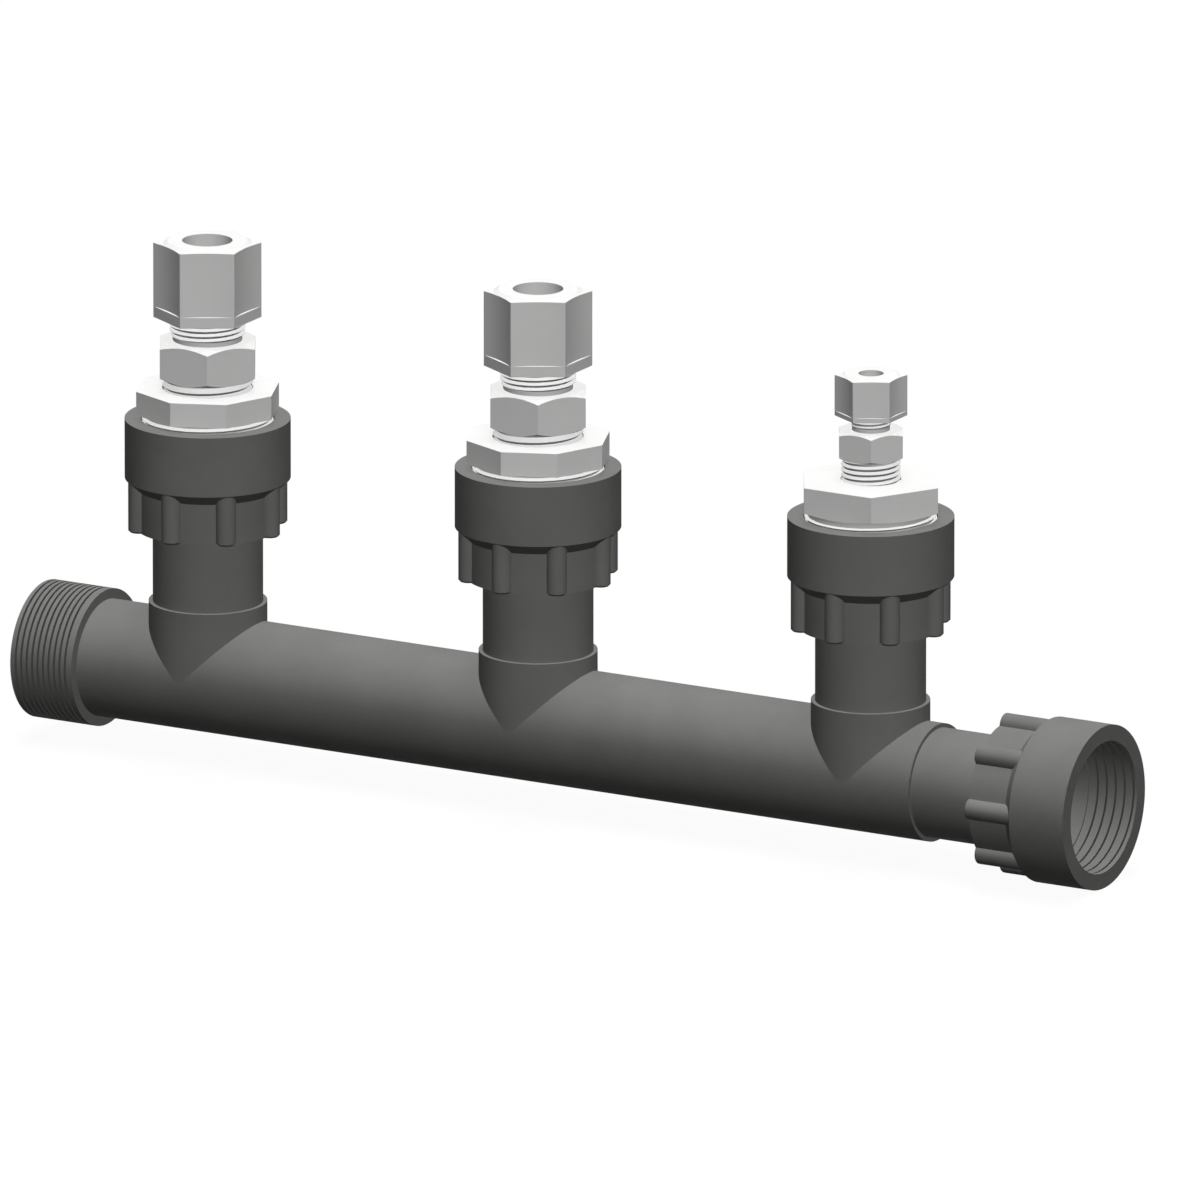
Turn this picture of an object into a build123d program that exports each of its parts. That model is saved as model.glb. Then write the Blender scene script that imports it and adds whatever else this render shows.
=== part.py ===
from build123d import *
from math import cos, pi, radians, tan
from types import SimpleNamespace
import os

# Sensor manifold for three probes, in millimetres, +Z up.
# The origin is the centre of the inlet's end face. The run lies along +X and the three ports rise along +Z.

# Ports along the run
port_names = ("left", "middle", "right")
first_port_distance = 45.6
port_pitch = 92.1

# Manifold body: the run and its branches have one radius, so they meet in a mitre
body_radius = 14.36
branch_face_height = 18.25
run_face_reach = 18.6
bore_radius = 9.42
body_socket_depth = 4.3

# Inlet threaded end
inlet_thread_radius = 16.83
inlet_length = 17.1
inlet_socket_depth = 12.0

# Pipe nipples, and the gap round a pipe in its cemented socket
pipe_radius = 13.335
riser_exposed_length = 18.1
outlet_exposed_length = 18.3
pipe_clearance = 0.05
socket_floor_gap = 0.2

# Female adapters: a ribbed barrel under a plain collar
adapter_length = 27.4
collar_length = 14.74
collar_radius = 20.06
collar_chamfer_length = 2.56
barrel_radius = 17.3
rib_count = 8
rib_radius = 2.45
rib_circle_radius = 17.33
rib_end_chamfer = 0.5
adapter_socket_depth = 7.0
adapter_lip_length = 1.6
adapter_thread_radius = 16.14
adapter_thread_length = 13.2
adapter_well_radius = 15.6

# Reducing bushings
bushing_thread_clearance = 0.22
bushing_engagement = 12.6
bushing_thread_exposed = 0.55
bushing_neck_radius = 15.2
pocket_clearance = 0.1
pocket_floor_gap = 0.4

# Octagon bushing, for the large fittings
octagon_sides = 8
octagon_flats = 32.9
octagon_neck_length = 1.15
octagon_height = 5.87
octagon_well_radius = 8.5

# Hexagon bushing, for the small fitting
hexagon_sides = 6
hexagon_flats = 32.1
hexagon_neck_length = 1.6
hexagon_height = 7.05
hexagon_chamfer_angle = 17.0
hexagon_well_radius = 5.0

# Wrench heads: the blank that a head is turned from is this much larger than its corners
wrench_sides = 6
chamfer_angle = 30.0
blank_allowance = 1.0
scoop_corner_margin = 0.35

# Gaps between the pieces of a compression fitting
nut_thread_clearance = 0.1
seat_clearance = 0.05

# Large compression fitting, for 12 mm probes
large_hole_radius = 6.10
large_lower_thread_radius = 10.9
large_engagement = 12.0
large_lower_exposed = 2.73
large_hex_flats = 22.95
large_hex_height = 9.28
large_neck_radius = 8.42
large_neck_height = 1.1
large_upper_thread_radius = 9.21
large_upper_exposed = 4.37
large_nut_engagement = 9.0
large_seat_mouth_radius = 7.9
large_seat_depth = 3.2
large_nose_wall = 0.45
large_ferrule_collar = 1.9
large_grip_height = 3.1
large_grip_split = 1.4
large_nut_flats = 22.59
large_nut_height = 18.5
large_nut_land = 0.6
large_nut_land_radius = 9.6
large_scoop_depth = 0.65
large_ledge_height = 2.67

# Small compression fitting, for a 6 mm probe
small_hole_radius = 3.03
small_lower_thread_radius = 7.17
small_engagement = 9.5
small_lower_exposed = 5.45
small_hex_flats = 15.25
small_hex_height = 6.8
small_neck_radius = 4.56
small_neck_height = 0.95
small_upper_thread_radius = 4.86
small_upper_exposed = 2.45
small_nut_engagement = 4.7
small_seat_mouth_radius = 4.1
small_seat_depth = 1.8
small_nose_wall = 0.27
small_ferrule_collar = 1.1
small_grip_height = 1.7
small_grip_split = 0.9
small_nut_flats = 15.09
small_nut_height = 10.0
small_nut_land = 0.4
small_nut_land_radius = 6.3
small_scoop_depth = 0.42
small_ledge_height = 1.12

# Places worked out from the sizes above
port_x = [first_port_distance + index * port_pitch for index in range(len(port_names))]
run_end_x = port_x[-1] + run_face_reach
riser_seat_height = branch_face_height + riser_exposed_length
riser_mouth_height = riser_seat_height + adapter_length
outlet_seat_x = run_end_x + outlet_exposed_length

octagon_bushing = SimpleNamespace(
    sides=octagon_sides,
    flats=octagon_flats,
    neck_length=octagon_neck_length,
    height=octagon_height,
    chamfer_angle=0.0,
    well_radius=octagon_well_radius,
)
hexagon_bushing = SimpleNamespace(
    sides=hexagon_sides,
    flats=hexagon_flats,
    neck_length=hexagon_neck_length,
    height=hexagon_height,
    chamfer_angle=hexagon_chamfer_angle,
    well_radius=hexagon_well_radius,
)
large_fitting = SimpleNamespace(
    hole_radius=large_hole_radius,
    lower_thread_radius=large_lower_thread_radius,
    engagement=large_engagement,
    lower_exposed=large_lower_exposed,
    hex_flats=large_hex_flats,
    hex_height=large_hex_height,
    neck_radius=large_neck_radius,
    neck_height=large_neck_height,
    upper_thread_radius=large_upper_thread_radius,
    upper_exposed=large_upper_exposed,
    nut_engagement=large_nut_engagement,
    seat_mouth_radius=large_seat_mouth_radius,
    seat_depth=large_seat_depth,
    nose_wall=large_nose_wall,
    ferrule_collar=large_ferrule_collar,
    grip_height=large_grip_height,
    grip_split=large_grip_split,
    nut_flats=large_nut_flats,
    nut_height=large_nut_height,
    nut_land=large_nut_land,
    nut_land_radius=large_nut_land_radius,
    scoop_depth=large_scoop_depth,
    ledge_height=large_ledge_height,
)
small_fitting = SimpleNamespace(
    hole_radius=small_hole_radius,
    lower_thread_radius=small_lower_thread_radius,
    engagement=small_engagement,
    lower_exposed=small_lower_exposed,
    hex_flats=small_hex_flats,
    hex_height=small_hex_height,
    neck_radius=small_neck_radius,
    neck_height=small_neck_height,
    upper_thread_radius=small_upper_thread_radius,
    upper_exposed=small_upper_exposed,
    nut_engagement=small_nut_engagement,
    seat_mouth_radius=small_seat_mouth_radius,
    seat_depth=small_seat_depth,
    nose_wall=small_nose_wall,
    ferrule_collar=small_ferrule_collar,
    grip_height=small_grip_height,
    grip_split=small_grip_split,
    nut_flats=small_nut_flats,
    nut_height=small_nut_height,
    nut_land=small_nut_land,
    nut_land_radius=small_nut_land_radius,
    scoop_depth=small_scoop_depth,
    ledge_height=small_ledge_height,
)
port_bushings = (octagon_bushing, octagon_bushing, hexagon_bushing)
port_fittings = (large_fitting, large_fitting, small_fitting)


def turned(*points):
    """Solid of revolution about Z from a closed outline of (radius, height) points."""
    outline = Plane.XZ * Polyline(*points, close=True)
    return revolve(make_face(outline), Axis.Z)


def drum(radius, bottom, top):
    """Upright cylinder on the Z axis."""
    return Pos(0, 0, bottom) * extrude(Circle(radius), top - bottom)


def along_x(shape, x=0.0):
    """Turn a shape that points along +Z to point along +X, and move it to x on the run's axis."""
    return Pos(x, 0, 0) * Rot(0, 90, 0) * shape


def on_port(index, shape, height=0.0):
    """Move an upright shape to a port's axis, with its own zero at a height."""
    return Pos(port_x[index], 0, height) * shape


def prism(sides, flats, bottom, top, turn=0.0):
    """Regular prism on the Z axis, across its flats, with its first corner at an angle."""
    outline = RegularPolygon(flats / 2, sides, major_radius=False, rotation=turn)
    return Pos(0, 0, bottom) * extrude(outline, top - bottom)


def make_manifold_body():
    """One-piece run with three mitred branches, a spigot for the inlet and shallow pipe sockets."""
    spigot_start = inlet_length - inlet_socket_depth + socket_floor_gap
    body = along_x(drum(body_radius, inlet_length, run_end_x))
    body += along_x(drum(pipe_radius, spigot_start, inlet_length))
    for index in range(len(port_names)):
        body += on_port(index, drum(body_radius, 0, branch_face_height))
    body -= along_x(drum(bore_radius, spigot_start, run_end_x))
    socket_radius = pipe_radius + pipe_clearance
    for index in range(len(port_names)):
        body -= on_port(index, drum(bore_radius, 0, branch_face_height))
        body -= on_port(index, drum(socket_radius, branch_face_height - body_socket_depth, branch_face_height))
    body -= along_x(drum(socket_radius, run_end_x - body_socket_depth, run_end_x))
    return body


def make_inlet_threaded_end():
    """Male threaded sleeve over the body's spigot, with a stop lip at its end face."""
    sleeve = drum(inlet_thread_radius, 0, inlet_length)
    sleeve -= drum(bore_radius, 0, inlet_length)
    sleeve -= drum(pipe_radius + pipe_clearance, inlet_length - inlet_socket_depth, inlet_length)
    return along_x(sleeve)


def make_nipple(exposed_length):
    """Plain pipe from the body's socket floor into the adapter's socket, with zero at the body's face."""
    bottom = socket_floor_gap - body_socket_depth
    top = exposed_length + adapter_socket_depth
    return drum(pipe_radius, bottom, top) - drum(bore_radius, bottom, top)


def make_adapter():
    """Female adapter with its back face at zero: ribbed barrel, chamfered collar, pipe socket and thread."""
    collar_bottom = adapter_length - collar_length
    chamfer_bottom = collar_bottom - collar_chamfer_length
    adapter = turned(
        (0, 0),
        (barrel_radius, 0),
        (barrel_radius, chamfer_bottom),
        (collar_radius, collar_bottom),
        (collar_radius, adapter_length),
        (0, adapter_length),
    )
    rib = drum(rib_radius, 0, collar_bottom)
    rib = chamfer(rib.edges().sort_by(Axis.Z)[0], rib_end_chamfer)
    for location in PolarLocations(rib_circle_radius, rib_count):
        adapter += location * rib
    lip_top = adapter_socket_depth + adapter_lip_length
    adapter -= drum(pipe_radius + pipe_clearance, 0, adapter_socket_depth)
    adapter -= drum(bore_radius, 0, adapter_length)
    adapter -= drum(adapter_well_radius, lip_top, adapter_length)
    adapter -= drum(adapter_thread_radius, adapter_length - adapter_thread_length, adapter_length)
    return adapter


def wrench_head(sides, flats, bottom, top, bottom_angle, top_angle):
    """Wrench polygon with a corner towards +X, its corners turned off at an angle below and above."""
    blank_radius = flats / 2 / cos(pi / sides) + blank_allowance
    reach = blank_radius - flats / 2
    blank = turned(
        (0, bottom),
        (flats / 2, bottom),
        (blank_radius, bottom + reach * tan(radians(bottom_angle))),
        (blank_radius, top - reach * tan(radians(top_angle))),
        (flats / 2, top),
        (0, top),
    )
    return blank & prism(sides, flats, bottom, top)


def make_bushing(bushing, fitting):
    """Reducing bushing with zero at the adapter's mouth: male thread, neck and wrench head."""
    head_bottom = bushing_thread_exposed + bushing.neck_length
    head_top = head_bottom + bushing.height
    pocket_bottom = head_top - fitting.engagement - pocket_floor_gap
    solid = drum(adapter_thread_radius - bushing_thread_clearance, -bushing_engagement, bushing_thread_exposed)
    solid += drum(bushing_neck_radius, bushing_thread_exposed, head_bottom)
    solid += wrench_head(bushing.sides, bushing.flats, head_bottom, head_top, bushing.chamfer_angle, 0)
    solid -= drum(bushing.well_radius, -bushing_engagement, head_top)
    solid -= drum(fitting.lower_thread_radius + pocket_clearance, pocket_bottom, head_top)
    return solid


def fitting_levels(fitting):
    """Heights of a fitting's seats above its bushing's top face."""
    hex_top = fitting.lower_exposed + fitting.hex_height
    nut_bottom = hex_top + fitting.neck_height + fitting.upper_exposed
    body_top = nut_bottom + fitting.nut_engagement
    ferrule_top = body_top + fitting.ferrule_collar
    return SimpleNamespace(
        hex_top=hex_top,
        nut_bottom=nut_bottom,
        body_top=body_top,
        ferrule_top=ferrule_top,
        grip_top=ferrule_top + fitting.grip_height,
    )


def make_fitting_body(fitting):
    """Compression body: lower thread, wrench hexagon, neck and upper thread, with a cone seat on top."""
    level = fitting_levels(fitting)
    neck_top = level.hex_top + fitting.neck_height
    body = drum(fitting.lower_thread_radius, -fitting.engagement, fitting.lower_exposed)
    body += wrench_head(
        wrench_sides, fitting.hex_flats, fitting.lower_exposed, level.hex_top, chamfer_angle, chamfer_angle
    )
    body += drum(fitting.neck_radius, level.hex_top, neck_top)
    body += drum(fitting.upper_thread_radius, neck_top, level.body_top)
    body -= drum(fitting.hole_radius, -fitting.engagement, level.body_top)
    body -= turned(
        (0, level.body_top - fitting.seat_depth),
        (fitting.hole_radius, level.body_top - fitting.seat_depth),
        (fitting.seat_mouth_radius, level.body_top),
        (0, level.body_top),
    )
    return body


def make_fitting_nut(fitting):
    """Compression nut with six scooped flats, each over a ledge, and a raised land round the probe hole."""
    level = fitting_levels(fitting)
    top = level.nut_bottom + fitting.nut_height
    flat_radius = fitting.nut_flats / 2
    nut = prism(wrench_sides, fitting.nut_flats, level.nut_bottom, top, turn=180 / wrench_sides)
    nut += turned(
        (0, top),
        (flat_radius - fitting.scoop_depth, top),
        (fitting.nut_land_radius, top + fitting.nut_land),
        (0, top + fitting.nut_land),
    )
    flat_width = fitting.nut_flats * tan(pi / wrench_sides)
    half_chord = flat_width / 2 - scoop_corner_margin
    scoop_radius = (half_chord**2 + fitting.scoop_depth**2) / (2 * fitting.scoop_depth)
    scoop = drum(scoop_radius, level.nut_bottom + fitting.ledge_height, top)
    for location in PolarLocations(flat_radius - fitting.scoop_depth + scoop_radius, wrench_sides):
        nut -= location * scoop
    nut -= drum(fitting.upper_thread_radius + nut_thread_clearance, level.nut_bottom, level.grip_top)
    nut -= drum(fitting.hole_radius, level.grip_top, top + fitting.nut_land)
    return nut


def make_ferrule(fitting):
    """Ferrule whose cone sits in the body's seat and whose collar stands on the body's top."""
    level = fitting_levels(fitting)
    slope = (fitting.seat_mouth_radius - fitting.hole_radius) / fitting.seat_depth
    nose_height = level.body_top - fitting.seat_depth + (fitting.nose_wall + seat_clearance) / slope
    collar_edge = fitting.seat_mouth_radius - seat_clearance
    return turned(
        (fitting.hole_radius, nose_height),
        (fitting.hole_radius + fitting.nose_wall, nose_height),
        (collar_edge, level.body_top),
        (collar_edge, level.ferrule_top),
        (fitting.hole_radius, level.ferrule_top),
    )


def make_grip_ring(fitting):
    """Split ring between the ferrule and the nut's cap."""
    level = fitting_levels(fitting)
    outer_radius = fitting.seat_mouth_radius
    ring = drum(outer_radius, level.ferrule_top, level.grip_top)
    ring -= drum(fitting.hole_radius, level.ferrule_top, level.grip_top)
    split = Pos(outer_radius / 2, 0, level.ferrule_top) * extrude(
        Rectangle(outer_radius, fitting.grip_split), fitting.grip_height
    )
    return ring - split


nodes = {
    "manifold_body": make_manifold_body(),
    "inlet_threaded_end": make_inlet_threaded_end(),
    "outlet_nipple": along_x(make_nipple(outlet_exposed_length), run_end_x),
    "outlet_adapter": along_x(make_adapter(), outlet_seat_x),
}

for index, name in enumerate(port_names):
    bushing = port_bushings[index]
    fitting = port_fittings[index]
    head_top = riser_mouth_height + bushing_thread_exposed + bushing.neck_length + bushing.height
    nodes["riser_nipple_" + name] = on_port(index, make_nipple(riser_exposed_length), branch_face_height)
    nodes["port_adapter_" + name] = on_port(index, make_adapter(), riser_seat_height)
    nodes["reducing_bushing_" + name] = on_port(index, make_bushing(bushing, fitting), riser_mouth_height)
    nodes["fitting_body_" + name] = on_port(index, make_fitting_body(fitting), head_top)
    nodes["ferrule_" + name] = on_port(index, make_ferrule(fitting), head_top)
    nodes["grip_ring_" + name] = on_port(index, make_grip_ring(fitting), head_top)
    nodes["fitting_nut_" + name] = on_port(index, make_fitting_nut(fitting), head_top)

os.makedirs("parts", exist_ok=True)
for node_name, solid in nodes.items():
    export_step(solid, "parts/" + node_name + ".step")
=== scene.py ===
import math

import bpy
import bmesh
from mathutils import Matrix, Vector


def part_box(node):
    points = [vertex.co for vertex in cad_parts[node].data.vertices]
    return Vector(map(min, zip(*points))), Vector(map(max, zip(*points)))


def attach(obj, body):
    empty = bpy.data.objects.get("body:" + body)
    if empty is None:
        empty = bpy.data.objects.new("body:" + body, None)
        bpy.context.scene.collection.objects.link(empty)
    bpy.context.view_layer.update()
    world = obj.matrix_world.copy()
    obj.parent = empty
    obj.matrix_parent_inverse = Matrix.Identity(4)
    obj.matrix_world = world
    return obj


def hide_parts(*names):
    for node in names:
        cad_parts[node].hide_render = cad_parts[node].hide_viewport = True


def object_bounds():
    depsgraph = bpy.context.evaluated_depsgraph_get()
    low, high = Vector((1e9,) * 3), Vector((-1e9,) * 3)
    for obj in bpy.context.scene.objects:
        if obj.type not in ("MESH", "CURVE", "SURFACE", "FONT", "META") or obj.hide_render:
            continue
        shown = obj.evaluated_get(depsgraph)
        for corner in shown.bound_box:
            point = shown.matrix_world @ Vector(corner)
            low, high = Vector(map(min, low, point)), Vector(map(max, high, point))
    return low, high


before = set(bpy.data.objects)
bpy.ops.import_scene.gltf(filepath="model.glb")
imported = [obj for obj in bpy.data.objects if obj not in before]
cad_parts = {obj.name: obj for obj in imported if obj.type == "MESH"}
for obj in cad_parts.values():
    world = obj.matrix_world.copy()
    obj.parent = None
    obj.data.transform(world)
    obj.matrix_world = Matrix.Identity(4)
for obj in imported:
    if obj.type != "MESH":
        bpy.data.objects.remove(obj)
cad_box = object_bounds()

# Sensor manifold: finishes, true threads, floor, light and camera.
# Lengths are in metres. Turn angles are in radians, and every other angle is in degrees.
mm = 0.001
ports = ("left", "middle", "right")
tau = 2 * math.pi


# Generalised turned surfaces
#
# A surface is a list of rows, each a function of the turn angle that returns (radius, height).
# Every row is walked round the axis and joined to the next, so a hexagon is a row whose radius
# follows its flats, and a helical thread is a set of rows that climb one pitch in a turn.
weld_distance = 0.001 * mm
sharp_edge_angle = 28
thread_segments = 144
fitting_segments = 96


def ring(radius, height):
    """A plain circle."""
    return lambda angle: (radius, height)


def polygon_radius(flats, sides, angle):
    """Distance from the axis to the side of a regular polygon with a corner at angle 0."""
    step = tau / sides
    return flats / 2 / math.cos(angle % step - step / 2)


def wrench_rows(sides, flats, bottom, top, bottom_angle, top_angle):
    """A wrench polygon with a corner at angle 0, its corners turned off below and above.

    The two angles are the slopes of the turned-off corners, from the level.
    """

    def row(level, slope):
        def at(angle):
            radius = polygon_radius(flats, sides, angle)
            return radius, level + (radius - flats / 2) * slope

        return at

    rise = math.tan(math.radians(bottom_angle))
    drop = math.tan(math.radians(top_angle))
    return [ring(flats / 2, bottom), row(bottom, rise), row(top, -drop), ring(flats / 2, top)]


def fade(distance, length):
    """Smooth rise from 0 to 1 over a length."""
    share = min(max(distance / length, 0.0), 1.0)
    return share * share * (3 - 2 * share)


def thread_rows(base, relief, pitch, bottom, top, shape, fade_in, fade_out):
    """Right-handed helical rows between two heights, with a spare turn beyond each of them.

    The shape is a list of (share of the pitch, share of the relief). A negative relief cuts grooves.
    """

    def row(turn, share, amount):
        def at(angle):
            height = bottom + pitch * (turn - 1 + share + angle / tau)
            strength = fade(height - bottom, fade_in) * fade(top - height, fade_out)
            return base + relief * amount * strength, min(max(height, bottom), top)

        return at

    turns = math.ceil((top - bottom) / pitch) + 2
    return [row(turn, share, amount) for turn in range(turns) for share, amount in shape]


def even_angles(segments):
    """Turn angles from 0 to a full turn, both ends included."""
    return [tau * index / segments for index in range(segments + 1)]


def build_surface(name, rows, angles, valley=None):
    """Closed mesh from rows, turned round +Z, welded along the seam and wherever rows meet.

    A valley is the range of radii whose faces take the piece's second material, a darker one that paints
    shade into grooves.
    """
    mesh = bmesh.new()
    columns = []
    for angle in angles:
        column = []
        for row in rows:
            radius, height = row(angle)
            column.append(mesh.verts.new((radius * math.cos(angle), radius * math.sin(angle), height)))
        columns.append(column)
    for left, right in zip(columns, columns[1:]):
        for step in range(len(rows)):
            after = (step + 1) % len(rows)
            mesh.faces.new((left[step], right[step], right[after], left[after]))
    bmesh.ops.remove_doubles(mesh, verts=mesh.verts, dist=weld_distance)
    bmesh.ops.dissolve_degenerate(mesh, edges=mesh.edges, dist=weld_distance)
    bmesh.ops.recalc_face_normals(mesh, faces=mesh.faces)
    if valley is not None:
        low, high = valley
        for face in mesh.faces:
            middle = face.calc_center_median()
            face.material_index = int(low < math.hypot(middle.x, middle.y) < high)
    data = bpy.data.meshes.new(name)
    mesh.to_mesh(data)
    mesh.free()
    data.polygons.foreach_set("use_smooth", [True] * len(data.polygons))
    data.set_sharp_from_angle(angle=math.radians(sharp_edge_angle))
    piece = bpy.data.objects.new(name, data)
    bpy.context.scene.collection.objects.link(piece)
    return piece


def place(piece, node, offset, turn_to_x=False):
    """Move the mesh to its place, turned to lie along +X if asked, and let it stand for its node."""
    for vertex in piece.data.vertices:
        if turn_to_x:
            x, y, z = vertex.co
            vertex.co = (z, y, -x)
        vertex.co += offset
    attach(piece, "root")
    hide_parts(node)


# Materials
#
# Texture scales are in waves a metre. The gloss is uneven by gloss_dip and gloss_rise round its roughness.
mottle_scale = 70.0
gloss_scale = 160.0
gloss_dip = 0.05
gloss_rise = 0.07
streak_scale = 900.0
streak_stretch = 0.04
streak_depth_ratio = 1.5


def new_material(name):
    """A new material with its nodes, its links and its shader."""
    material = bpy.data.materials.new(name)
    material.use_nodes = True
    nodes = material.node_tree.nodes
    return material, nodes, material.node_tree.links, nodes["Principled BSDF"]


def noise(nodes, links, vector, scale, detail, roughness):
    """A cloudy texture's value."""
    texture = nodes.new("ShaderNodeTexNoise")
    texture.inputs["Scale"].default_value = scale
    texture.inputs["Detail"].default_value = detail
    texture.inputs["Roughness"].default_value = roughness
    links.new(vector, texture.inputs["Vector"])
    return texture.outputs["Fac"]


def ramp(nodes, links, fac, low, high, start=0.3, end=0.7):
    """Map a texture between two colours or two greys."""
    mapping = nodes.new("ShaderNodeValToRGB")
    mapping.color_ramp.elements[0].position = start
    mapping.color_ramp.elements[1].position = end
    mapping.color_ramp.elements[0].color = low
    mapping.color_ramp.elements[1].color = high
    links.new(fac, mapping.inputs["Fac"])
    return mapping.outputs["Color"]


def grey(value):
    """An even grey, with its alpha."""
    return (value, value, value, 1)


def shade(colour, share):
    """The same hue at a share of its brightness."""
    return tuple(share * channel for channel in colour)


def damp_bounces(nodes, links, colour, share):
    """Keep a colour as it is where it is seen, and less of it in light that the surface passes on."""
    path = nodes.new("ShaderNodeLightPath")
    darker = nodes.new("ShaderNodeMix")
    darker.data_type = "RGBA"
    darker.blend_type = "MULTIPLY"
    darker.inputs["B"].default_value = grey(share)
    links.new(path.outputs["Is Diffuse Ray"], darker.inputs["Factor"])
    links.new(colour, darker.inputs["A"])
    return darker.outputs["Result"]


def plastic(name, colour, spread, rough, grain, grain_depth, streak_axis=None, specular=0.5, bounce=1.0):
    """Moulded or extruded plastic: faint mottling, uneven gloss, fine grain and, on a pipe, drawn streaks."""
    material, nodes, links, shader = new_material(name)
    where = nodes.new("ShaderNodeTexCoord").outputs["Object"]
    cloud = noise(nodes, links, where, mottle_scale, detail=4.0, roughness=0.55)
    dark = shade(colour, 1 - spread) + (1,)
    light = shade(colour, 1 + spread) + (1,)
    mottled = ramp(nodes, links, cloud, dark, light)
    if bounce < 1:
        mottled = damp_bounces(nodes, links, mottled, bounce)
    links.new(mottled, shader.inputs["Base Color"])
    gloss = noise(nodes, links, where, gloss_scale, detail=3.0, roughness=0.6)
    uneven = ramp(nodes, links, gloss, grey(rough - gloss_dip), grey(rough + gloss_rise))
    links.new(uneven, shader.inputs["Roughness"])
    fine = noise(nodes, links, where, grain, detail=2.0, roughness=0.6)
    bump = nodes.new("ShaderNodeBump")
    bump.inputs["Strength"].default_value = 1.0
    bump.inputs["Distance"].default_value = grain_depth
    links.new(fine, bump.inputs["Height"])
    normal = bump.outputs["Normal"]
    if streak_axis is not None:
        stretch = nodes.new("ShaderNodeVectorMath")
        stretch.operation = "MULTIPLY"
        scales = [streak_stretch if axis == streak_axis else 1.0 for axis in range(3)]
        stretch.inputs[1].default_value = scales
        links.new(where, stretch.inputs[0])
        streak = noise(nodes, links, stretch.outputs["Vector"], streak_scale, detail=3.0, roughness=0.6)
        drawn = nodes.new("ShaderNodeBump")
        drawn.inputs["Strength"].default_value = 1.0
        drawn.inputs["Distance"].default_value = grain_depth * streak_depth_ratio
        links.new(streak, drawn.inputs["Height"])
        links.new(normal, drawn.inputs["Normal"])
        normal = drawn.outputs["Normal"]
    links.new(normal, shader.inputs["Normal"])
    shader.inputs["Specular IOR Level"].default_value = specular
    return material


pvc_colour = (0.163, 0.163, 0.158)
white_colour = (0.70, 0.70, 0.695)
ferrule_colour = (0.66, 0.66, 0.63)
# Brightness share of the darker PVC copy that paints shade into the thread grooves
painted_groove_shade = 0.58
moulded_finish = {
    "spread": 0.05,
    "rough": 0.72,
    "grain": 2600.0,
    "grain_depth": 0.04 * mm,
    "specular": 0.01,
}
drawn_finish = {
    "spread": 0.04,
    "rough": 0.66,
    "grain": 2600.0,
    "grain_depth": 0.02 * mm,
    "specular": 0.01,
}
fitting_finish = {
    "spread": 0.02,
    "rough": 0.50,
    "grain": 3000.0,
    "grain_depth": 0.02 * mm,
    "specular": 0.03,
    "bounce": 0.1,
}
turned_finish = {
    "spread": 0.02,
    "rough": 0.3,
    "grain": 3500.0,
    "grain_depth": 0.01 * mm,
}
pvc_moulded = plastic("pvc_moulded", pvc_colour, **moulded_finish)
# A darker copy of the moulded PVC, which paints shade into the thread grooves
pvc_painted_groove_shade = plastic("pvc_painted_groove_shade", shade(pvc_colour, painted_groove_shade), **moulded_finish)
pvc_pipe_up = plastic("pvc_pipe_up", pvc_colour, streak_axis=2, **drawn_finish)
pvc_pipe_along = plastic("pvc_pipe_along", pvc_colour, streak_axis=0, **drawn_finish)
white_moulded = plastic("white_moulded", white_colour, **fitting_finish)
ferrule_plastic = plastic("ferrule_plastic", ferrule_colour, **turned_finish)


def dress(piece, material, groove_shade_material=None):
    """Give a piece its material, and its thread valleys a darker second one that paints shade into them."""
    if piece.data.materials:
        piece.data.materials.clear()
    piece.data.materials.append(material)
    if groove_shade_material is not None:
        piece.data.materials.append(groove_shade_material)


for name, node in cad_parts.items():
    if name == "outlet_nipple":
        dress(node, pvc_pipe_along)
    elif name.startswith("riser_nipple"):
        dress(node, pvc_pipe_up)
    elif name.startswith(("reducing_bushing", "fitting_")):
        dress(node, white_moulded)
    elif name.startswith(("ferrule", "grip_ring")):
        dress(node, ferrule_plastic)
    else:
        dress(node, pvc_moulded)

# A face belongs to a groove if it lies this far below the crest, and up to this far beyond the groove's
# floor; such faces get painted shade
valley_crest_margin = 0.2 * mm
valley_floor_margin = 0.01 * mm

# Inlet thread: narrow grooves and wide flat crests
inlet_low, inlet_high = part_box("inlet_threaded_end")
inlet_radius = inlet_high.z
inlet_length = inlet_high.x - inlet_low.x
inlet_pitch = 1.53 * mm
inlet_end_land = 0.1 * mm
inlet_flange_land = 1.2 * mm
inlet_groove_depth = 0.8 * mm
pipe_socket_radius = 13.385 * mm
inlet_socket_depth = 12.0 * mm
bore_radius = 9.42 * mm
inlet_groove = [(0.0, 0.0), (0.06, 1.0), (0.32, 1.0), (0.38, 0.0)]

inlet_rows = [
    ring(bore_radius, 0),
    ring(inlet_radius, 0),
    *thread_rows(
        inlet_radius,
        -inlet_groove_depth,
        inlet_pitch,
        inlet_end_land,
        inlet_length - inlet_flange_land,
        inlet_groove,
        fade_in=0.5 * mm,
        fade_out=0.5 * mm,
    ),
    ring(inlet_radius, inlet_length),
    ring(pipe_socket_radius, inlet_length),
    ring(pipe_socket_radius, inlet_length - inlet_socket_depth),
    ring(bore_radius, inlet_length - inlet_socket_depth),
]
# Radii of the inlet's groove faces, which take painted shade
inlet_painted_shade_radii = (
    inlet_radius - inlet_groove_depth - valley_floor_margin,
    inlet_radius - valley_crest_margin,
)
inlet = build_surface("inlet_thread_cut", inlet_rows, even_angles(thread_segments), inlet_painted_shade_radii)
place(inlet, "inlet_threaded_end", Vector((inlet_low.x, 0, 0)), turn_to_x=True)
dress(inlet, pvc_moulded, pvc_painted_groove_shade)

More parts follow.
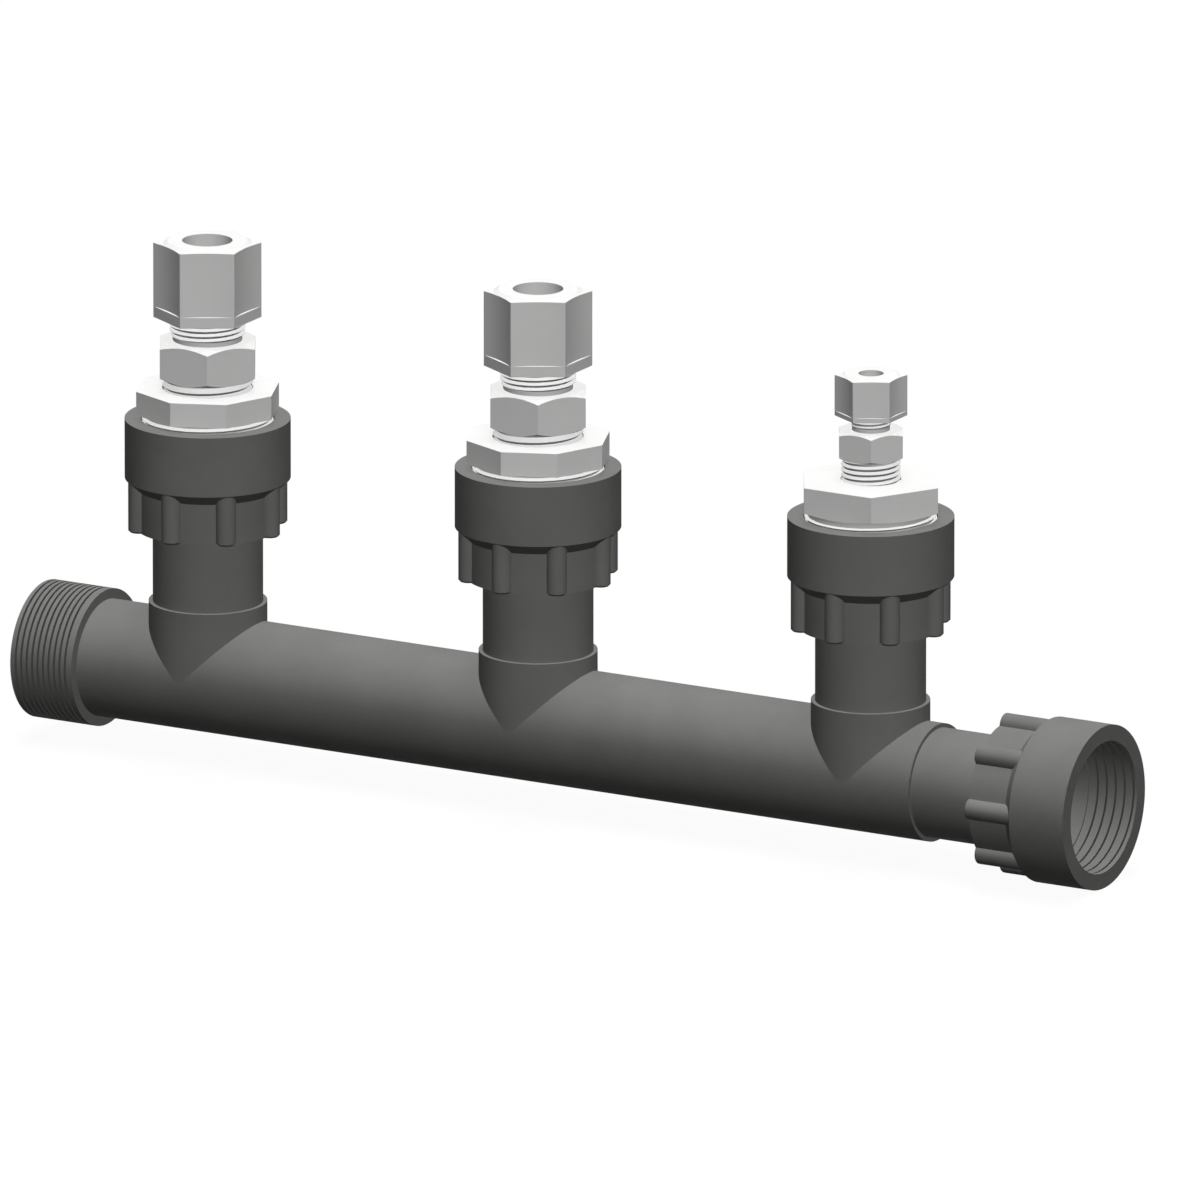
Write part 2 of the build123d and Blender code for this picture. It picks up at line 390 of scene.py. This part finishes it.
# Outlet adapter: ribbed barrel, chamfered collar and narrow thread grooves inside the mouth
outlet_low, outlet_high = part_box("outlet_adapter")
collar_radius = outlet_high.z
adapter_length = outlet_high.x - outlet_low.x
collar_length = 14.74 * mm
collar_chamfer_length = 2.56 * mm
barrel_radius = 17.3 * mm
rib_count = 8
rib_radius = 2.45 * mm
rib_circle = 17.33 * mm
rib_end_round = 0.5 * mm
rib_end_steps = 4
adapter_socket_depth = 7.0 * mm
adapter_lip = 1.6 * mm
adapter_bore = 16.14 * mm
adapter_well = 15.6 * mm
adapter_thread_length = 13.2 * mm
outlet_pitch = 2.45 * mm
outlet_thread_inner = 11.6 * mm
outlet_thread_outer = 0.5 * mm
outlet_groove_depth = 1.0 * mm
outlet_groove = [(0.0, 0.0), (0.03, 1.0), (0.19, 1.0), (0.22, 0.0)]


def barrel_outline(rib_steps=12, gap_steps=8):
    """Turn angles round the ribbed barrel, each with the barrel's radius there.

    With a rib on +X, its circle crosses the barrel's at meeting_x. That point lies at meeting_turn round the
    rib's own centre and at reach round the barrel's axis.
    """
    outline = {}
    meeting_x = (barrel_radius**2 + rib_circle**2 - rib_radius**2) / (2 * rib_circle)
    meeting_turn = math.acos((meeting_x - rib_circle) / rib_radius)
    reach = math.acos(meeting_x / barrel_radius)
    for rib in range(rib_count):
        middle = tau * rib / rib_count
        for step in range(rib_steps + 1):
            turn = meeting_turn * (2 * step / rib_steps - 1)
            x = rib_circle + rib_radius * math.cos(turn)
            y = rib_radius * math.sin(turn)
            outline[middle + math.atan2(y, x)] = max(barrel_radius, math.hypot(x, y))
        for step in range(1, gap_steps):
            outline[middle + reach + (tau / rib_count - 2 * reach) * step / gap_steps] = barrel_radius
    return outline


def adapter_rows(outline):
    """Rows of the adapter from its back face, over the ribs and collar, and back through its bore."""
    collar_bottom = adapter_length - collar_length
    chamfer_bottom = collar_bottom - collar_chamfer_length
    chamfer_rise = collar_chamfer_length / (collar_radius - barrel_radius)
    lip_top = adapter_socket_depth + adapter_lip
    thread_bottom = adapter_length - adapter_thread_length

    def rounded(share):
        """The ribs' rounded end, at a share of its quarter circle."""
        inset = rib_end_round * (1 - math.sin(share * math.pi / 2))
        level = rib_end_round * (1 - math.cos(share * math.pi / 2))
        return lambda angle: (max(barrel_radius, outline[angle] - inset), level)

    return [
        ring(pipe_socket_radius, 0),
        *[rounded(step / rib_end_steps) for step in range(rib_end_steps + 1)],
        lambda angle: (outline[angle], chamfer_bottom + (outline[angle] - barrel_radius) * chamfer_rise),
        ring(collar_radius, collar_bottom),
        ring(collar_radius, adapter_length),
        ring(adapter_bore, adapter_length),
        *reversed(
            thread_rows(
                adapter_bore,
                outlet_groove_depth,
                outlet_pitch,
                adapter_length - outlet_thread_inner,
                adapter_length - outlet_thread_outer,
                outlet_groove,
                fade_in=0.6 * mm,
                fade_out=0.5 * mm,
            )
        ),
        ring(adapter_bore, thread_bottom),
        ring(adapter_well, thread_bottom),
        ring(adapter_well, lip_top),
        ring(bore_radius, lip_top),
        ring(bore_radius, adapter_socket_depth),
        ring(pipe_socket_radius, adapter_socket_depth),
    ]


outline = barrel_outline()
turn_angles = sorted(outline)
first_angle = turn_angles[0]
outline[first_angle + tau] = outline[first_angle]
turn_angles.append(first_angle + tau)
# Radii of the outlet's groove faces, which take painted shade
outlet_painted_shade_radii = (
    adapter_bore + valley_crest_margin,
    adapter_bore + outlet_groove_depth + valley_floor_margin,
)
outlet = build_surface("outlet_adapter_cut", adapter_rows(outline), turn_angles, outlet_painted_shade_radii)
place(outlet, "outlet_adapter", Vector((outlet_low.x, 0, 0)), turn_to_x=True)
dress(outlet, pvc_moulded, pvc_painted_groove_shade)

# Reducing bushings: a wrench head over a neck, with one turn of the male thread above the adapter's mouth
bushing_engagement = 12.6 * mm
bushing_root = 15.2 * mm
bushing_crest = 15.92 * mm
bushing_pitch = 1.41 * mm
bushing_neck_flare = 0.35 * mm
bushing_thread_start = 1.32 * mm
bushing_thread_end = 1.2 * mm
octagon_bushing = {
    "sides": 8,
    "head_bottom": 1.70 * mm,
    "ridge": [(0.10, 0.0), (0.48, 1.0), (0.52, 1.0), (0.90, 0.0)],
    "chamfer": 0,
    "well": 8.5 * mm,
    "pocket": 11.0 * mm,
    "pocket_depth": 12.4 * mm,
}
hexagon_bushing = {
    "sides": 6,
    "head_bottom": 2.15 * mm,
    "ridge": [(0.10, 0.0), (0.48, 1.0), (0.50, 1.0), (0.70, 0.0)],
    "chamfer": 17,
    "well": 5.0 * mm,
    "pocket": 7.27 * mm,
    "pocket_depth": 9.9 * mm,
}


def bushing(name, sizes):
    """A reducing bushing with its thread, in place of the CAD node of that port."""
    low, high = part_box(name)
    mouth = bushing_engagement
    head_bottom = mouth + sizes["head_bottom"]
    head_top = high.z - low.z
    flats = (high.x - low.x) * math.cos(math.pi / sizes["sides"])
    rows = [
        ring(sizes["well"], 0),
        ring(bushing_root, 0),
        *thread_rows(
            bushing_root,
            bushing_crest - bushing_root,
            bushing_pitch,
            bushing_thread_start,
            mouth + bushing_thread_end,
            sizes["ridge"],
            fade_in=0.8 * mm,
            fade_out=0.4 * mm,
        ),
        ring(bushing_root + bushing_neck_flare, head_bottom),
        *wrench_rows(sizes["sides"], flats, head_bottom, head_top, sizes["chamfer"], top_angle=0),
        ring(sizes["pocket"], head_top),
        ring(sizes["pocket"], head_top - sizes["pocket_depth"]),
        ring(sizes["well"], head_top - sizes["pocket_depth"]),
    ]
    piece = build_surface(name + "_cut", rows, even_angles(thread_segments))
    centre = (low + high) / 2
    place(piece, name, Vector((centre.x, centre.y, low.z)))
    dress(piece, white_moulded)


for port, sizes in zip(ports, (octagon_bushing, octagon_bushing, hexagon_bushing)):
    bushing("reducing_bushing_" + port, sizes)

# Compression fitting bodies: sharp threads below and above a wrench hexagon
wrench_sides = 6
wrench_chamfer = 30
crest_share = 0.04
large_body = {
    "hole": 6.10 * mm,
    "engagement": 12.0 * mm,
    "exposed": 2.73 * mm,
    "hex_height": 9.28 * mm,
    "lower_crest": 10.9 * mm,
    "lower_depth": 0.8 * mm,
    "lower_pitch": 1.81 * mm,
    "lower_flank": 0.38,
    "neck": 8.42 * mm,
    "neck_height": 1.1 * mm,
    "upper_crest": 9.21 * mm,
    "upper_pitch": 1.24 * mm,
    "upper_flank": 0.54,
    "seat_mouth": 7.9 * mm,
    "seat_depth": 3.2 * mm,
}
small_body = {
    "hole": 3.03 * mm,
    "engagement": 9.5 * mm,
    "exposed": 5.45 * mm,
    "hex_height": 6.8 * mm,
    "lower_crest": 7.17 * mm,
    "lower_depth": 0.6 * mm,
    "lower_pitch": 1.30 * mm,
    "lower_flank": 0.52,
    "neck": 4.56 * mm,
    "neck_height": 0.95 * mm,
    "upper_crest": 4.86 * mm,
    "upper_pitch": 0.95 * mm,
    "upper_flank": 0.54,
    "seat_mouth": 4.1 * mm,
    "seat_depth": 1.8 * mm,
}


def sharp_ridge(flank):
    """Thread shape that rises over a share of the pitch to a narrow crest and falls back over the rest."""
    return [(0.0, 0.0), (flank, 1.0), (flank + crest_share, 1.0)]


def fitting_body(name, sizes):
    """A fitting body with both its threads, in place of the CAD node of that port."""
    low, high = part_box(name)
    height = high.z - low.z
    hex_bottom = sizes["engagement"] + sizes["exposed"]
    hex_top = hex_bottom + sizes["hex_height"]
    neck_top = hex_top + sizes["neck_height"]
    flats = high.y - low.y
    rows = [
        ring(sizes["hole"], 0),
        ring(sizes["lower_crest"] - sizes["lower_depth"], 0),
        *thread_rows(
            sizes["lower_crest"] - sizes["lower_depth"],
            sizes["lower_depth"],
            sizes["lower_pitch"],
            0,
            hex_bottom,
            sharp_ridge(sizes["lower_flank"]),
            fade_in=1.5 * mm,
            fade_out=0.5 * mm,
        ),
        *wrench_rows(wrench_sides, flats, hex_bottom, hex_top, wrench_chamfer, wrench_chamfer),
        ring(sizes["neck"], hex_top),
        ring(sizes["neck"], neck_top),
        *thread_rows(
            sizes["neck"],
            sizes["upper_crest"] - sizes["neck"],
            sizes["upper_pitch"],
            neck_top,
            height,
            sharp_ridge(sizes["upper_flank"]),
            fade_in=0.4 * mm,
            fade_out=0.6 * mm,
        ),
        ring(sizes["seat_mouth"], height),
        ring(sizes["hole"], height - sizes["seat_depth"]),
    ]
    body = build_surface(name + "_cut", rows, even_angles(fitting_segments))
    centre = (low + high) / 2
    place(body, name, Vector((centre.x, centre.y, low.z)))
    dress(body, white_moulded)


for port, sizes in zip(ports, (large_body, large_body, small_body)):
    fitting_body("fitting_body_" + port, sizes)

# Floor, light and camera
#
# Light that bounces between floor and object finds the floor dark, and so the undersides stay dark.
# The camera and reflections find it white, with the object's shadow in the share that isn't its own glow.
floor_size = 8.0
floor_level = cad_box[0].z
floor_bounce_colour = grey(0.015)
floor_shown_colour = grey(0.70)
floor_glow_share = 0.66
pure_white = grey(1.0)


def make_floor():
    """Plain floor under the object."""
    bpy.ops.mesh.primitive_plane_add(size=floor_size, location=(0, 0, floor_level))
    floor = bpy.context.object
    floor.name = "floor"
    material, nodes, links, shader = new_material("floor_white")
    shader.inputs["Base Color"].default_value = floor_bounce_colour
    shader.inputs["Roughness"].default_value = 0.9
    shader.inputs["Specular IOR Level"].default_value = 0.1
    white = nodes.new("ShaderNodeBsdfDiffuse")
    white.inputs["Color"].default_value = floor_shown_colour
    glow = nodes.new("ShaderNodeEmission")
    glow.inputs["Color"].default_value = pure_white
    glow.inputs["Strength"].default_value = 1.0
    shown = nodes.new("ShaderNodeMixShader")
    shown.inputs["Fac"].default_value = floor_glow_share
    links.new(white.outputs["BSDF"], shown.inputs[1])
    links.new(glow.outputs["Emission"], shown.inputs[2])
    path = nodes.new("ShaderNodeLightPath")
    mirrored = nodes.new("ShaderNodeMath")
    mirrored.operation = "MAXIMUM"
    links.new(path.outputs["Is Glossy Ray"], mirrored.inputs[0])
    links.new(path.outputs["Is Transmission Ray"], mirrored.inputs[1])
    seen = nodes.new("ShaderNodeMath")
    seen.operation = "MAXIMUM"
    links.new(path.outputs["Is Camera Ray"], seen.inputs[0])
    links.new(mirrored.outputs[0], seen.inputs[1])
    mix = nodes.new("ShaderNodeMixShader")
    links.new(seen.outputs[0], mix.inputs["Fac"])
    links.new(shader.outputs["BSDF"], mix.inputs[1])
    links.new(shown.outputs["Shader"], mix.inputs[2])
    links.new(mix.outputs["Shader"], nodes["Material Output"].inputs["Surface"])
    floor.data.materials.append(material)


def soft_sun(name, azimuth, elevation, spread, strength, shadow=True):
    """Even light from one side of the sky. Azimuth is measured from +X towards +Y, spread is its width."""
    data = bpy.data.lights.new(name, "SUN")
    data.use_shadow = shadow
    data.angle = math.radians(spread)
    data.energy = strength
    lamp = bpy.data.objects.new(name, data)
    bpy.context.scene.collection.objects.link(lamp)
    turn, rise = math.radians(azimuth), math.radians(elevation)
    back = Vector((math.cos(turn) * math.cos(rise), math.sin(turn) * math.cos(rise), math.sin(rise)))
    lamp.rotation_euler = (-back).to_track_quat("-Z", "Y").to_euler()


def make_world(strength):
    """Faint even light on the object, and plain white where the camera looks past it."""
    world = bpy.data.worlds.new("studio")
    bpy.context.scene.world = world
    world.use_nodes = True
    nodes, links = world.node_tree.nodes, world.node_tree.links
    ambient = nodes["Background"]
    ambient.inputs["Color"].default_value = pure_white
    ambient.inputs["Strength"].default_value = strength
    white = nodes.new("ShaderNodeBackground")
    white.inputs["Strength"].default_value = 1.0
    white.inputs["Color"].default_value = pure_white
    path = nodes.new("ShaderNodeLightPath")
    mix = nodes.new("ShaderNodeMixShader")
    links.new(path.outputs["Is Camera Ray"], mix.inputs["Fac"])
    links.new(ambient.outputs["Background"], mix.inputs[1])
    links.new(white.outputs["Background"], mix.inputs[2])
    links.new(mix.outputs["Shader"], nodes["World Output"].inputs["Surface"])


# The view: its direction and scale, and the point that it looks at, measured from the left port's foot.
# Azimuth is measured from the front towards the outlet. Sensor and lens are in millimetres.
view_azimuth = 30
view_elevation = 15
picture_width = 1200
pixel_size = 0.2405 * mm
left_port = 45.6 * mm
aim_right = 94.65 * mm
aim_up = 17.5 * mm
aim_back = 55 * mm
sensor_width = 36.0
lens = 1600.0
nearest_view = 1.0


def make_camera():
    """A very long lens, whose lines are nearly parallel."""
    azimuth, elevation = math.radians(view_azimuth), math.radians(view_elevation)
    right = Vector((math.cos(azimuth), math.sin(azimuth), 0))
    back = Vector((
        math.sin(azimuth) * math.cos(elevation),
        -math.cos(azimuth) * math.cos(elevation),
        math.sin(elevation),
    ))
    up = back.cross(right)
    aim = Vector((left_port, 0, 0)) + right * aim_right + up * aim_up + back * aim_back
    frame_width = pixel_size * picture_width
    distance = frame_width * lens / sensor_width
    data = bpy.data.cameras.new("camera")
    data.sensor_width = sensor_width
    data.lens = lens
    data.clip_start = nearest_view
    data.clip_end = distance + floor_size
    camera = bpy.data.objects.new("camera", data)
    bpy.context.scene.collection.objects.link(camera)
    camera.location = aim + back * distance
    camera.rotation_euler = (-back).to_track_quat("-Z", "Y").to_euler()
    bpy.context.scene.camera = camera


make_floor()
soft_sun("top_light", azimuth=-50, elevation=75, spread=20, strength=0.3)
soft_sun("top_fill", azimuth=-50, elevation=75, spread=20, strength=0.82, shadow=False)
soft_sun("overhead_light", azimuth=120, elevation=84, spread=20, strength=0.35)
soft_sun("overhead_fill", azimuth=120, elevation=84, spread=20, strength=1.94, shadow=False)
soft_sun("key_fill", azimuth=-48, elevation=45, spread=16, strength=1.36, shadow=False)
soft_sun("low_fill", azimuth=-60, elevation=12, spread=16, strength=0.45, shadow=False)
soft_sun("back_left_fill", azimuth=148, elevation=10, spread=16, strength=0.5, shadow=False)
soft_sun("back_right_fill", azimuth=92, elevation=10, spread=16, strength=0.4, shadow=False)
make_world(strength=0.002)
make_camera()
bpy.context.scene.view_settings.view_transform = "Standard"
